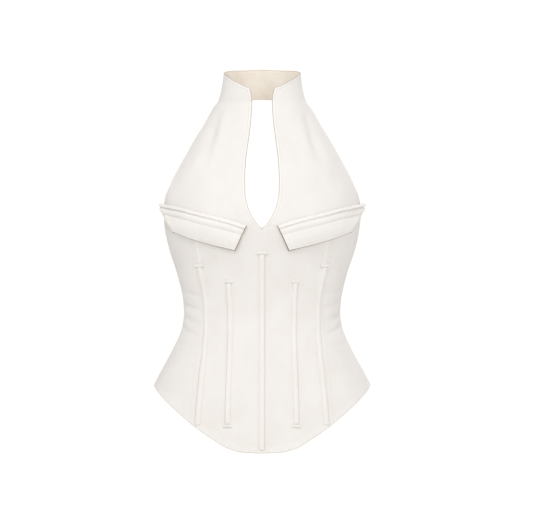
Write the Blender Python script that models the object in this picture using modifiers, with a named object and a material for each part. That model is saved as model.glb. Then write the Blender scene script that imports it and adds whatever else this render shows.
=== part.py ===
"""White denim corset top: halter collar, keyhole front, two bust flaps, boned body, centre back zip.

The top keeps the hollow form that it has when it is worn. Run it with
blender --background --python part.py, or from Blender's text editor.

Sizes are in millimetres and MM turns them into Blender's metres. The garment's outer skin is a stack of
rounded sections. A place on it is an angle round the body and a height: the angle is 0 at centre front,
90 at the wearer's left side and 180 at centre back, and the height is measured from the neck, where
the halter collar holds the top up.
"""

import math
from bisect import bisect_right
from collections import namedtuple
from functools import cache

import bmesh
import bpy
from mathutils import Matrix, Vector

MM = 0.001
SIDES = (("left", 1), ("right", -1))

# Cloth thicknesses and the air between pieces
DENIM = 1.6
FACED_DENIM = 2.0
SEAM_GAP = 0.6
REST_GAP = 0.5

# The outer skin, from above the collar down to below the hem
Section = namedtuple("Section", "height half_width front back squareness")
SECTIONS = (
    Section(72, 57.0, 44.0, 56.0, 2.00),
    Section(52, 58.8, 50.0, 59.0, 2.00),
    Section(27, 61.8, 56.0, 62.0, 2.00),
    Section(8, 65.8, 60.5, 63.5, 2.05),
    Section(0, 68.8, 62.0, 64.0, 2.05),
    Section(-8, 74.6, 64.0, 66.0, 2.10),
    Section(-29, 87.2, 71.0, 73.0, 2.15),
    Section(-55, 104.5, 82.0, 83.0, 2.25),
    Section(-92, 127.5, 96.0, 96.0, 2.30),
    Section(-129, 147.0, 107.0, 107.0, 2.35),
    Section(-148, 152.5, 111.0, 111.0, 2.40),
    Section(-165, 153.0, 113.5, 111.5, 2.40),
    Section(-188, 151.5, 115.0, 110.0, 2.35),
    Section(-208, 148.5, 114.0, 107.0, 2.30),
    Section(-228, 143.8, 111.0, 104.0, 2.25),
    Section(-268, 131.0, 102.0, 96.0, 2.15),
    Section(-308, 122.1, 95.0, 89.0, 2.10),
    Section(-325, 121.0, 94.0, 88.0, 2.10),
    Section(-343, 122.6, 94.5, 89.0, 2.10),
    Section(-383, 138.4, 98.5, 98.0, 2.15),
    Section(-423, 160.3, 104.0, 115.0, 2.20),
    Section(-468, 181.0, 109.5, 131.0, 2.20),
    Section(-540, 200.0, 114.0, 144.0, 2.20),
)

# The fullness that the cut gives each side of the bust
CUP_ANGLE = 33.0
CUP_HEIGHT = -186.0
CUP_RISE = 13.0
CUP_SPREAD = 24.0
CUP_ABOVE = 52.0
CUP_BELOW = 34.0

# Soft folds of the bib, which the collar pulls up: a row for each, from its top to its foot
Fold = namedtuple("Fold", "top_across top_height foot_across foot_height width rise")
BIB_FOLDS = (
    Fold(64, -8, 89, -104, 8.0, -3.5),
    Fold(54, -14, 74, -96, 9.0, 2.5),
    Fold(82, -40, 108, -120, 9.0, 1.5),
)

# Edges and seams, as the height at an angle
Height = namedtuple("Height", "angle height")
COLLAR_TOP = (
    Height(14, 17.5),
    Height(18, 18.5),
    Height(31, 24.6),
    Height(46, 31.3),
    Height(69, 40.9),
    Height(90, 46.0),
    Height(120, 51.5),
    Height(180, 55.8),
)
COLLAR_FOOT = (
    Height(13, -6.0),
    Height(45, -4.0),
    Height(90, 1.0),
    Height(135, 6.5),
    Height(180, 9.3),
)
BUST_SEAM = (
    Height(0, -213.7),
    Height(14, -213.0),
    Height(30, -203.0),
    Height(50, -187.0),
    Height(70, -171.0),
    Height(82, -163.5),
    Height(95, -164.5),
    Height(110, -176.0),
    Height(130, -196.0),
    Height(155, -209.0),
    Height(180, -213.0),
)
HEM = (
    Height(0, -533.5),
    Height(12, -532.5),
    Height(22, -527.0),
    Height(32, -513.5),
    Height(42, -497.5),
    Height(52, -479.0),
    Height(62, -461.5),
    Height(72, -448.0),
    Height(82, -440.0),
    Height(92, -437.0),
    Height(120, -446.0),
    Height(150, -462.0),
    Height(180, -470.0),
)

# Edges and seams, as the angle at a height
Angle = namedtuple("Angle", "height angle")
ARMHOLE = (
    Angle(4, 98.0),
    Angle(-8, 89.0),
    Angle(-18, 84.0),
    Angle(-32, 79.0),
    Angle(-55, 75.0),
    Angle(-98, 73.0),
    Angle(-130, 73.0),
    Angle(-148, 75.5),
    Angle(-166, 81.0),
)
COLLAR_FRONT = (
    Angle(-8, 13.3),
    Angle(3, 14.1),
    Angle(10, 15.6),
    Angle(20, 18.6),
)
PRINCESS_SEAM = (
    Angle(-178, 46.0),
    Angle(-219, 48.5),
    Angle(-254, 51.4),
    Angle(-305, 52.5),
    Angle(-351, 51.6),
    Angle(-381, 49.4),
    Angle(-414, 46.3),
    Angle(-455, 43.5),
    Angle(-500, 42.0),
)
INNER_BONE = (
    Angle(-277, 28.9),
    Angle(-320, 30.0),
    Angle(-360, 29.0),
    Angle(-420, 26.0),
    Angle(-494, 22.5),
)
SIDE_SEAM_ANGLE = 93.0

# The keyhole: half its width at a height above the rounded foot, and the foot's own curve
HalfWidth = namedtuple("HalfWidth", "height half_width")
KEYHOLE = (
    HalfWidth(-8, 15.2),
    HalfWidth(-33, 16.7),
    HalfWidth(-64, 20.3),
    HalfWidth(-95, 24.1),
    HalfWidth(-125, 25.5),
    HalfWidth(-141, 25.1),
)
KEYHOLE_FOOT = -199.0
KEYHOLE_SHOULDER = -141.0
KEYHOLE_POWER = 0.9

# Bust flaps: the top and foot from the inner corner to the outer one, and how far the flap stands
# off the bust at a share of its height, with a groove at each of the two rows that sew it down
FLAP_TOP = (
    Height(11.5, -194.0),
    Height(25.0, -184.0),
    Height(39.0, -175.5),
    Height(57.0, -165.5),
    Height(80.0, -158.5),
)
FLAP_FOOT = (
    Height(20.8, -229.5),
    Height(35.0, -221.5),
    Height(48.0, -213.0),
    Height(64.0, -201.5),
)
FlapLift = namedtuple("FlapLift", "share lift")
FLAP_LIFTS = (
    FlapLift(0.00, 3.2),
    FlapLift(0.25, 2.6),
    FlapLift(0.50, 1.0),
    FlapLift(0.62, 0.2),
    FlapLift(0.75, 1.2),
    FlapLift(0.87, 0.2),
    FlapLift(1.00, 1.8),
)
FLAP_CORNER_SHARE = 0.82
FLAP_CORNER_LIFT = 4.0

# Bone channels, with a bar across each end that stops in the cloth
Channel = namedtuple("Channel", "width bar_width")
CENTRE_CHANNEL = Channel(9.0, 17.0)
INNER_CHANNEL = Channel(7.2, 12.0)
OUTER_CHANNEL = Channel(8.0, 15.5)
CHANNEL_CLOTH = 1.1
CHANNEL_CROWN = 0.7
BAR_HEIGHT = 4.2
BAR_STEP = 0.6
CENTRE_BONE_TOP = -232.0
INNER_BONE_TOP = -275.0
INNER_BONE_FOOT = -495.0
OUTER_BONE_TOP = -251.0
BONE_HEM_GAP = 3.0

# Centre back zip
ZIP_OPENING = 10.0
ZIP_TAPE_WIDTH = 24.0
ZIP_TAPE = 0.8
ZIP_TEETH_WIDTH = 5.2
ZIP_TEETH = 1.4
ZIP_EDGE_GAP = 2.5
SLIDER_HEIGHT = -224.0
SLIDER_WIDTH = 8.0
SLIDER_LENGTH = 10.0
SLIDER_DEPTH = 4.0
SLIDER_ROUNDING = 0.8
BRIDGE_THICKNESS = 2.0
BRIDGE_HALF_LENGTH = 3.4
BRIDGE_RISE = 3.9
BRIDGE_WIRE = 1.2
BRIDGE_ROOT = 0.6
PULL_WIDTH = 6.4
PULL_LENGTH = 24.0
PULL_THICKNESS = 1.2
PULL_CROSSBAR = 1.3
PULL_WINDOW_WIDTH = 3.4
PULL_WINDOW_LENGTH = 4.2
PULL_ROUNDING = 0.3
PIVOT_ABOVE_SLIDER = 1.35


def smooth_curve(table):
    """A function that reads a two-column table, on a curve that never overshoots its rows."""
    rows = sorted(tuple(row) for row in table)
    places = [row[0] for row in rows]
    steps = [(b[1] - a[1]) / (b[0] - a[0]) for a, b in zip(rows, rows[1:])]
    slopes = [steps[0]]
    for i in range(1, len(steps)):
        slope = 0.0
        if steps[i - 1] * steps[i] > 0:
            before = places[i] - places[i - 1]
            after = places[i + 1] - places[i]
            near = 2 * after + before
            far = after + 2 * before
            slope = (near + far) / (near / steps[i - 1] + far / steps[i])
        slopes.append(slope)
    slopes.append(steps[-1])

    def curve(at):
        if at <= places[0]:
            return rows[0][1]
        if at >= places[-1]:
            return rows[-1][1]
        i = bisect_right(places, at) - 1
        span = places[i + 1] - places[i]
        t = (at - places[i]) / span
        start = (2 * t**3 - 3 * t**2 + 1) * rows[i][1] + (t**3 - 2 * t**2 + t) * span * slopes[i]
        end = (3 * t**2 - 2 * t**3) * rows[i + 1][1] + (t**3 - t**2) * span * slopes[i + 1]
        return start + end

    return curve


def section_curve(column):
    """One measure of the sections as a curve over the height."""
    return smooth_curve((row.height, getattr(row, column)) for row in SECTIONS)


half_width_at = section_curve("half_width")
front_at = section_curve("front")
back_at = section_curve("back")
squareness_at = section_curve("squareness")
collar_top_at = smooth_curve(COLLAR_TOP)
collar_foot_at = smooth_curve(COLLAR_FOOT)
collar_front_at = smooth_curve(COLLAR_FRONT)
bust_seam_at = smooth_curve(BUST_SEAM)
hem_at = smooth_curve(HEM)
armhole_at = smooth_curve(ARMHOLE)
princess_at = smooth_curve(PRINCESS_SEAM)
inner_bone_at = smooth_curve(INNER_BONE)
keyhole_at = smooth_curve(KEYHOLE)
flap_top_at = smooth_curve(FLAP_TOP)
flap_foot_at = smooth_curve(FLAP_FOOT)
flap_lift_at = smooth_curve(FLAP_LIFTS)


def cup_rise(angle, height):
    """How far the bust fullness stands out from the plain section."""
    over = height - CUP_HEIGHT
    spread = CUP_ABOVE if over > 0 else CUP_BELOW
    near = math.exp(-(((abs(angle) - CUP_ANGLE) / CUP_SPREAD) ** 2))
    far = math.exp(-(((abs(angle) + CUP_ANGLE) / CUP_SPREAD) ** 2))
    return CUP_RISE * (near + far) * math.exp(-((over / spread) ** 2))


def fold_rise(across, height):
    """How far the bib's soft folds stand out at a distance from centre front and a height."""
    rise = 0.0
    for fold in BIB_FOLDS:
        run = Vector((fold.foot_across - fold.top_across, fold.foot_height - fold.top_height))
        place = Vector((abs(across) - fold.top_across, height - fold.top_height))
        along = place.dot(run) / run.length_squared
        if not 0 < along < 1:
            continue
        aside = (place - run * along).length
        fade = math.sin(math.pi * along) ** 0.8
        rise += fold.rise * fade * math.exp(-((aside / fold.width) ** 2))
    return rise


def ring_radius(angle, height):
    """The distance from a section's middle to the skin."""
    turned = (angle + 180) % 360 - 180
    half_depth = (front_at(height) + back_at(height)) / 2
    power = squareness_at(height)
    side = abs(math.sin(math.radians(turned)) / half_width_at(height)) ** power
    front = abs(math.cos(math.radians(turned)) / half_depth) ** power
    radius = (side + front) ** (-1 / power) + cup_rise(turned, height)
    if abs(turned) < 90:
        radius += fold_rise(radius * math.sin(math.radians(turned)), height)
    return radius


def bare_skin(angle, height):
    """The point of the outer skin at an angle and a height."""
    radius = ring_radius(angle, height)
    middle = (back_at(height) - front_at(height)) / 2
    turn = math.radians(angle)
    return Vector((radius * math.sin(turn), middle - radius * math.cos(turn), height))


def skin(angle, height, lift=0.0):
    """The point that stands a distance out from the skin."""
    point = bare_skin(angle, height)
    if lift == 0:
        return point
    around = bare_skin(angle + 0.5, height) - bare_skin(angle - 0.5, height)
    upward = bare_skin(angle, height + 1) - bare_skin(angle, height - 1)
    return point + around.cross(upward).normalized() * lift


def angle_beside(angle, height, distance):
    """The angle that lies a distance round the body from another one."""
    return angle + math.degrees(distance / ring_radius(angle, height))


def keyhole_half_width(height):
    """Half the keyhole's width, and 0 below its foot."""
    if height >= KEYHOLE_SHOULDER:
        return keyhole_at(height)
    if height <= KEYHOLE_FOOT:
        return 0.0
    share = (height - KEYHOLE_FOOT) / (KEYHOLE_SHOULDER - KEYHOLE_FOOT)
    return keyhole_at(KEYHOLE_SHOULDER) * (1 - (1 - share) ** 2) ** KEYHOLE_POWER


def keyhole_angle(height):
    """The angle of the keyhole's edge, or of the centre front seam below it."""
    across = max(keyhole_half_width(height), SEAM_GAP / 2)
    angle = 0.0
    for _ in range(5):
        angle = math.degrees(math.asin(across / ring_radius(angle, height)))
    return angle


def make_material(name, colour, roughness, metallic=0.0):
    """A Principled material of one finish."""
    material = bpy.data.materials.new(name)
    material.use_nodes = True
    shader = material.node_tree.nodes["Principled BSDF"]
    shader.inputs["Base Color"].default_value = (*colour, 1.0)
    shader.inputs["Roughness"].default_value = roughness
    shader.inputs["Metallic"].default_value = metallic
    return material


def make_object(name, mesh_builder, material, collection):
    """An object in the collection, from a bmesh whose points are in millimetres."""
    bmesh.ops.transform(mesh_builder, matrix=Matrix.Scale(MM, 4), verts=mesh_builder.verts)
    mesh = bpy.data.meshes.new(name)
    mesh_builder.to_mesh(mesh)
    mesh_builder.free()
    mesh.materials.append(material)
    mesh.shade_smooth()
    made = bpy.data.objects.new(name, mesh)
    collection.objects.link(made)
    return made


def thicken(made, thickness, outward):
    """Gives an open sheet its cloth thickness, out from the body or in towards it."""
    solidify = made.modifiers.new("cloth", "SOLIDIFY")
    solidify.thickness = thickness * MM
    solidify.offset = 1.0 if outward else -1.0
    solidify.use_even_offset = True


def make_sheet(name, place, columns, rows, thickness, outward, material, collection):
    """A sheet of cloth: place gives the point at a share across (0 to 1) and up (0 to 1)."""
    builder = bmesh.new()
    bmesh.ops.create_grid(builder, x_segments=columns, y_segments=rows, size=0.5)
    for vertex in builder.verts:
        vertex.co = place(vertex.co.x + 0.5, vertex.co.y + 0.5)
    made = make_object(name, builder, material, collection)
    thicken(made, thickness, outward)
    return made


def panel_place(side, near, far, foot, top, row_power=1.0):
    """The place function of a panel between two upright edges, its foot and its top."""

    def angle_at(height, share):
        return near(height) + (far(height) - near(height)) * share

    @cache
    def ends(share):
        low, high = -400.0, -100.0
        for _ in range(15):
            low = foot(angle_at(low, share))
            high = top(angle_at(high, share))
        return low, high

    def place(across, up):
        share = across if side > 0 else 1 - across
        low, high = ends(share)
        height = low + (high - low) * up**row_power
        point = skin(angle_at(height, share), height)
        return Vector((side * point.x, point.y, point.z))

    return place


def seam_edge(seam, shift):
    """An upright edge that keeps a distance from a seam."""

    def edge(height):
        return angle_beside(seam(height), height, shift)

    return edge


def make_bibs(material, collection):
    """The upper fronts, from the collar down to the bust seam, with the keyhole between them."""

    def top(angle):
        return collar_foot_at(angle) - SEAM_GAP / 2

    def foot(angle):
        return bust_seam_at(angle) + SEAM_GAP / 2

    for word, side in SIDES:
        place = panel_place(side, keyhole_angle, armhole_at, foot, top, row_power=1.3)
        make_sheet(f"bib_{word}", place, 11, 22, DENIM, False, material, collection)


def make_collar(material, collection):
    """The stand collar, a ring from one side of the keyhole round the neck to the other."""

    def place(across, up):
        bend = 2 * across - 1
        height = 0.0
        for _ in range(15):
            angle = 180 + bend * (180 - collar_front_at(height))
            turned = min(angle, 360 - angle)
            low = collar_foot_at(turned) + SEAM_GAP / 2
            height = low + (collar_top_at(turned) - low) * up
        return skin(angle, height)

    make_sheet("collar", place, 40, 4, FACED_DENIM, False, material, collection)


def make_body_panels(material, collection):
    """The corset body: centre fronts, side fronts and backs, from the bust seam to the hem."""

    def top(angle):
        return bust_seam_at(angle) - SEAM_GAP / 2

    def centre_front(height):
        return angle_beside(0.0, height, SEAM_GAP / 2)

    def side_seam(height):
        return SIDE_SEAM_ANGLE

    def zip_edge(height):
        return angle_beside(180.0, height, -ZIP_OPENING / 2)

    before, after = -SEAM_GAP / 2, SEAM_GAP / 2
    panels = (
        ("front", centre_front, seam_edge(princess_at, before), 9, 21),
        ("side", seam_edge(princess_at, after), seam_edge(side_seam, before), 6, 19),
        ("back", seam_edge(side_seam, after), zip_edge, 10, 18),
    )
    for word, side in SIDES:
        for name, near, far, columns, rows in panels:
            place = panel_place(side, near, far, hem_at, top)
            make_sheet(f"{name}_{word}", place, columns, rows, DENIM, False, material, collection)


def make_flaps(material, collection):
    """The bust flaps: sewn down along the top and hanging free at the foot."""

    def between(rows, share):
        return rows[0].angle + (rows[-1].angle - rows[0].angle) * share

    for word, side in SIDES:

        def place(across, up, side=side):
            share = across if side > 0 else 1 - across
            foot_angle = between(FLAP_FOOT, share)
            top_angle = between(FLAP_TOP, share)
            low = flap_foot_at(foot_angle)
            height = low + (flap_top_at(top_angle) - low) * up
            lift = REST_GAP + flap_lift_at(up)
            if share > FLAP_CORNER_SHARE:
                bend = (share - FLAP_CORNER_SHARE) / (1 - FLAP_CORNER_SHARE)
                lift += FLAP_CORNER_LIFT * bend**2 * up**3
            point = skin(foot_angle + (top_angle - foot_angle) * up, height, lift)
            return Vector((side * point.x, point.y, point.z))

        make_sheet(f"flap_{word}", place, 12, 8, FACED_DENIM, True, material, collection)


def channel_rows(channel, top, foot, bar_at_foot):
    """Heights up a bone channel, with its width at each: the end bars are wider."""
    rows = [(top, channel.bar_width), (top - BAR_HEIGHT, channel.bar_width)]
    start = top - BAR_HEIGHT - BAR_STEP
    end = foot + (BAR_HEIGHT + BAR_STEP if bar_at_foot else 0)
    stretches = round((start - end) / 15)
    rows += [(start + (end - start) * i / stretches, channel.width) for i in range(stretches + 1)]
    if bar_at_foot:
        rows += [(foot + BAR_HEIGHT, channel.bar_width), (foot, channel.bar_width)]
    return rows[::-1]


def make_channel(name, middle, rows, side, material, collection):
    """One bone channel: a strip of cloth that arches over its bone, on the panel below it."""

    def place(across, up):
        height, width = rows[round(up * (len(rows) - 1))]
        bend = 2 * across - 1
        angle = angle_beside(middle(height), height, side * bend * width / 2)
        point = skin(angle, height, REST_GAP + CHANNEL_CROWN * (1 - bend**2))
        return Vector((side * point.x, point.y, point.z))

    make_sheet(name, place, 4, len(rows) - 1, CHANNEL_CLOTH, True, material, collection)


def make_channels(material, collection):
    """Five bone channels: one at centre front, and an inner and an outer pair."""

    def centre(height):
        return 0.0

    def outer(height):
        inward = min(1.0, (OUTER_BONE_TOP - height) / 20)
        shift = -OUTER_CHANNEL.width / 2 * inward - SEAM_GAP
        return angle_beside(princess_at(height), height, shift)

    foot = hem_at(0) + BONE_HEM_GAP
    rows = channel_rows(CENTRE_CHANNEL, CENTRE_BONE_TOP, foot, False)
    make_channel("bone_channel_centre", centre, rows, 1, material, collection)
    foot = hem_at(PRINCESS_SEAM[-1].angle) + 2 * BONE_HEM_GAP
    for word, side in SIDES:
        rows = channel_rows(INNER_CHANNEL, INNER_BONE_TOP, INNER_BONE_FOOT, True)
        make_channel(f"bone_channel_inner_{word}", inner_bone_at, rows, side, material, collection)
        rows = channel_rows(OUTER_CHANNEL, OUTER_BONE_TOP, foot, False)
        make_channel(f"bone_channel_outer_{word}", outer, rows, side, material, collection)


def make_strip(name, width, depth, top, foot, columns, thickness, material, collection):
    """A straight strip of the zip, down centre back."""

    def place(across, up):
        height = foot + (top - foot) * up
        angle = angle_beside(180.0, height, (across - 0.5) * width)
        return skin(angle, height, -depth)

    make_sheet(name, place, columns, 17, thickness, True, material, collection)


def slider_turn():
    """How far the back leans at the slider, in radians."""
    upward = bare_skin(180, SLIDER_HEIGHT + 2) - bare_skin(180, SLIDER_HEIGHT - 2)
    return -math.atan2(upward.y, upward.z)


def add_box(name, size, middle, material, collection):
    """A box of a size round a middle, both in millimetres."""
    builder = bmesh.new()
    bmesh.ops.create_cube(builder, size=1.0)
    bmesh.ops.scale(builder, vec=size, verts=builder.verts)
    bmesh.ops.translate(builder, vec=middle, verts=builder.verts)
    return make_object(name, builder, material, collection)


def hide_helper(helper):
    """Keeps a cutter or a joined shape out of the finished part."""
    helper.hide_render = True
    helper.display_type = "WIRE"


def bridge_outline(inset):
    """Half of the bridge's section as (along the zip, out from the slider) points, then its mirror."""
    half_length = BRIDGE_HALF_LENGTH - inset
    rise = BRIDGE_RISE - inset
    corner = half_length * 0.45
    low = 0.0 if inset else -BRIDGE_ROOT
    half = [(half_length, low), (half_length, rise - corner), (half_length - corner, rise)]
    return half + [(-along, out) for along, out in reversed(half)]


def bridge_mesh(face):
    """The bridge over the slider's face: a flat outline with a window, as thick as the bridge."""
    outline = bpy.data.curves.new("bridge_outline", "CURVE")
    outline.dimensions = "2D"
    outline.fill_mode = "BOTH"
    outline.extrude = BRIDGE_THICKNESS / 2 * MM
    for inset in (0.0, BRIDGE_WIRE):
        points = bridge_outline(inset)
        spline = outline.splines.new("POLY")
        spline.points.add(len(points) - 1)
        for point, (along, out) in zip(spline.points, points):
            point.co = (along * MM, out * MM, 0, 1)
        spline.use_cyclic_u = True
    guide = bpy.data.objects.new("bridge_guide", outline)
    bpy.context.scene.collection.objects.link(guide)
    bpy.context.view_layer.update()
    graph = bpy.context.evaluated_depsgraph_get()
    mesh = bpy.data.meshes.new_from_object(guide.evaluated_get(graph))
    bpy.data.objects.remove(guide)

    upright = Matrix(((0, 0, 1, 0), (0, 1, 0, face * MM), (-1, 0, 0, 0), (0, 0, 0, 1)))
    builder = bmesh.new()
    builder.from_mesh(mesh)
    bmesh.ops.remove_doubles(builder, verts=builder.verts, dist=0.01 * MM)
    bmesh.ops.transform(builder, matrix=upright, verts=builder.verts)
    bmesh.ops.recalc_face_normals(builder, faces=builder.faces)
    builder.to_mesh(mesh)
    builder.free()
    return mesh


def make_slider(material, collection, cutters):
    """The slider, seated on the zip, with the bridge that its pull hangs on."""
    floor = REST_GAP - DENIM - SEAM_GAP
    size = Vector((SLIDER_WIDTH, SLIDER_DEPTH, SLIDER_LENGTH))
    middle = Vector((0, floor + SLIDER_DEPTH / 2, 0))
    slider = add_box("zip_slider", size, middle, material, collection)
    slider.location = bare_skin(180, SLIDER_HEIGHT) * MM
    slider.rotation_euler.x = slider_turn()
    rounding = slider.modifiers.new("rounded edges", "BEVEL")
    rounding.width = SLIDER_ROUNDING * MM
    rounding.segments = 2

    bridge = bpy.data.objects.new("zip_slider_bridge", bridge_mesh(floor + SLIDER_DEPTH))
    cutters.objects.link(bridge)
    bridge.location = slider.location
    bridge.rotation_euler = slider.rotation_euler
    hide_helper(bridge)
    join = slider.modifiers.new("bridge", "BOOLEAN")
    join.operation = "UNION"
    join.object = bridge


def make_pull(material, collection, cutters):
    """The pull, which hangs from the slider's bridge by the bar above its window."""
    lift = REST_GAP - DENIM - SEAM_GAP + SLIDER_DEPTH + PIVOT_ABOVE_SLIDER
    turn = Matrix.Rotation(slider_turn(), 3, "X")
    hinge = bpy.data.objects.new("zip_pull_hinge", None)
    collection.objects.link(hinge)
    hinge.location = (bare_skin(180, SLIDER_HEIGHT) + turn @ Vector((0, lift, 0))) * MM

    size = Vector((PULL_WIDTH, PULL_THICKNESS, PULL_LENGTH))
    middle = Vector((0, 0, (PULL_CROSSBAR - PULL_LENGTH) / 2))
    pull = add_box("zip_pull", size, middle, material, collection)
    pull.parent = hinge
    rounding = pull.modifiers.new("rounded edges", "BEVEL")
    rounding.width = PULL_ROUNDING * MM
    rounding.segments = 2

    size = Vector((PULL_WINDOW_WIDTH, 4 * PULL_THICKNESS, PULL_WINDOW_LENGTH))
    middle = Vector((0, 0, -(PULL_CROSSBAR + PULL_WINDOW_LENGTH) / 2))
    window = add_box("zip_pull_window", size, middle, material, cutters)
    window.location = hinge.location
    hide_helper(window)
    cut = pull.modifiers.new("window", "BOOLEAN")
    cut.operation = "DIFFERENCE"
    cut.object = window


def make_zip(cloth, metal, collection, cutters):
    """The zip: its tape inside the back edges, its teeth in the opening, its slider and pull."""
    tape_depth = DENIM + SEAM_GAP + ZIP_TAPE
    teeth_depth = DENIM + SEAM_GAP - REST_GAP
    top = BUST_SEAM[-1].height - ZIP_EDGE_GAP
    foot = HEM[-1].height + ZIP_EDGE_GAP
    make_strip("zip_tape", ZIP_TAPE_WIDTH, tape_depth, top, foot, 4, ZIP_TAPE, cloth, collection)
    teeth_top = SLIDER_HEIGHT - SLIDER_LENGTH / 2 - REST_GAP
    foot += ZIP_EDGE_GAP
    width = ZIP_TEETH_WIDTH
    make_strip("zip_teeth", width, teeth_depth, teeth_top, foot, 2, ZIP_TEETH, metal, collection)
    make_slider(metal, collection, cutters)
    make_pull(metal, collection, cutters)


def main():
    for old in list(bpy.data.objects):
        bpy.data.objects.remove(old)
    scene = bpy.context.scene
    collection = bpy.data.collections.new("denim_corset_top")
    cutters = bpy.data.collections.new("cutters")
    scene.collection.children.link(collection)
    scene.collection.children.link(cutters)

    denim = make_material("white_denim", (0.90, 0.87, 0.83), 0.85)
    faced = make_material("faced_white_denim", (0.88, 0.85, 0.80), 0.85)
    tape = make_material("zip_tape", (0.86, 0.83, 0.78), 0.80)
    metal = make_material("zip_metal", (0.72, 0.71, 0.69), 0.30, metallic=1.0)

    make_bibs(denim, collection)
    make_collar(faced, collection)
    make_body_panels(denim, collection)
    make_flaps(faced, collection)
    make_channels(denim, collection)
    make_zip(tape, metal, collection, cutters)


main()
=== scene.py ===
import math

import bmesh
import bpy
import numpy as np
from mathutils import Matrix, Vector


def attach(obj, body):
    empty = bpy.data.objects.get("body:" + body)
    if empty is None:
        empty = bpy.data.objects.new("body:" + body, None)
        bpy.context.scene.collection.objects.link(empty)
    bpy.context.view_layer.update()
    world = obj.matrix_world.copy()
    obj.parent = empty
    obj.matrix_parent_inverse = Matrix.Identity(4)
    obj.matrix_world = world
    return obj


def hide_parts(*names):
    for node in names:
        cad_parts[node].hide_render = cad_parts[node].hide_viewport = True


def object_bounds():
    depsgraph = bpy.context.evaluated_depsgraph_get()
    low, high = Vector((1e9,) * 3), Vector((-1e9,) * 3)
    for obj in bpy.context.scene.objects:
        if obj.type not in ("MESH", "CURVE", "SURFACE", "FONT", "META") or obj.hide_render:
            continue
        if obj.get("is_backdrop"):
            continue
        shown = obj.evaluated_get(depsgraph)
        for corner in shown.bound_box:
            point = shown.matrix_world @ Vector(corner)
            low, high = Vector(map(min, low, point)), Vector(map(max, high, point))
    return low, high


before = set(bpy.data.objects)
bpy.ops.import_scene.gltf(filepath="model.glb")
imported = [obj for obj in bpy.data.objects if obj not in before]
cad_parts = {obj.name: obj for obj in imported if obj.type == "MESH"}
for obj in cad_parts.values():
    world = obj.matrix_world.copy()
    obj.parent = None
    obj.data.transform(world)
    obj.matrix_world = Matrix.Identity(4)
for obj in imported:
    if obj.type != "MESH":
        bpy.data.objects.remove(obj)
cad_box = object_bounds()

# The bibs
# Two upper fronts of heavy off-white cotton twill, on the straight grain, which hang from the collar.
# Their keyhole and armhole edges are turned under and topstitched, and their foot is sewn to the body.

# Lengths are in millimetres, which MM makes metres, and angles in degrees round from centre front
MM = 0.001
SIDES = (("left", 1), ("right", -1))
DENIM = 1.6
RIM = DENIM / 2
SEAM_LAP = 0.15
CELL = 2.6

# The worn top's outer form: sections at a height, with squareness 2 for an ellipse
SECTIONS = (
    # height, half width, front, back, squareness
    (72, 57.0, 44.0, 56.0, 2.00),
    (52, 58.8, 50.0, 59.0, 2.00),
    (27, 61.8, 56.0, 62.0, 2.00),
    (8, 65.8, 60.5, 63.5, 2.05),
    (0, 68.8, 62.0, 64.0, 2.05),
    (-8, 74.6, 64.0, 66.0, 2.10),
    (-29, 87.2, 71.0, 73.0, 2.15),
    (-55, 104.5, 82.0, 83.0, 2.25),
    (-92, 127.5, 96.0, 96.0, 2.30),
    (-129, 147.0, 107.0, 107.0, 2.35),
    (-148, 152.5, 111.0, 111.0, 2.40),
    (-165, 153.0, 113.5, 111.5, 2.40),
    (-188, 151.5, 115.0, 110.0, 2.35),
    (-208, 148.5, 114.0, 107.0, 2.30),
    (-228, 143.8, 111.0, 104.0, 2.25),
    (-268, 131.0, 102.0, 96.0, 2.15),
    (-308, 122.1, 95.0, 89.0, 2.10),
    (-325, 121.0, 94.0, 88.0, 2.10),
    (-343, 122.6, 94.5, 89.0, 2.10),
    (-383, 138.4, 98.5, 98.0, 2.15),
    (-423, 160.3, 104.0, 115.0, 2.20),
    (-468, 181.0, 109.5, 131.0, 2.20),
    (-540, 200.0, 114.0, 144.0, 2.20),
)
CUP_ANGLE, CUP_HEIGHT, CUP_RISE, CUP_SPREAD = 33.0, -186.0, 13.0, 24.0
CUP_ABOVE, CUP_BELOW = 52.0, 34.0
BIB_FOLDS = (
    # top across, top height, foot across, foot height, width, rise
    (64, -8, 89, -104, 8.0, -3.5),
    (54, -14, 74, -96, 9.0, 2.5),
    (82, -40, 108, -120, 9.0, 1.5),
)
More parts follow.
